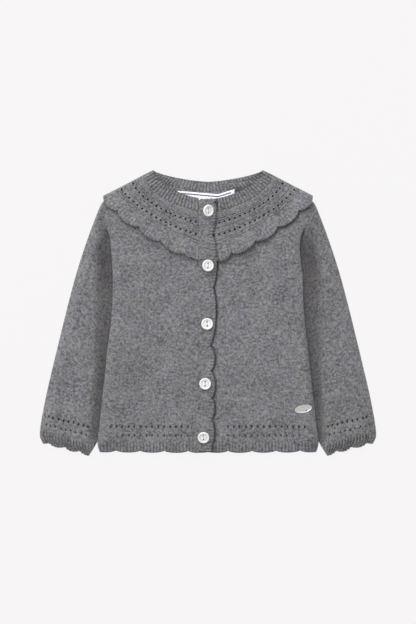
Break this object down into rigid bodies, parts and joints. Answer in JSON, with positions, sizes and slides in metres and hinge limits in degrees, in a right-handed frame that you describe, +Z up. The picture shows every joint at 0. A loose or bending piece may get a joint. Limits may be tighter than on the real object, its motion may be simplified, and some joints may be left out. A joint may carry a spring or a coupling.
{
  "type": "baby cardigan",
  "caption": "Knitted baby cardigan laid flat, with a scalloped frill collar, ribbed neck, long sleeves and a buttoned front band.",
  "frame": {"origin": "middle of the outline, on the surface that the cardigan lies on", "axes": "+Z up from the surface, +Y towards the neck, +X towards the wearer's left sleeve"},
  "size_m": [0.336, 0.286, 0.0139],
  "materials": {
    "knit": "soft brushed wool jersey",
    "button": "pearly",
    "tape": "woven satin tape",
    "metal": "satin"
  },
  "bodies": {
    "root": {"back": "knit", "front_right": "knit", "front_left": "knit", "sleeve_right": "knit", "sleeve_left": "knit", "collar": "knit", "neckband": "knit", "band_right": "knit", "band_left": "knit", "button_1": "button", "button_2": "button", "button_3": "button", "button_4": "button", "button_5": "button", "label": "tape", "plate": "metal"}
  },
  "joints": []
}
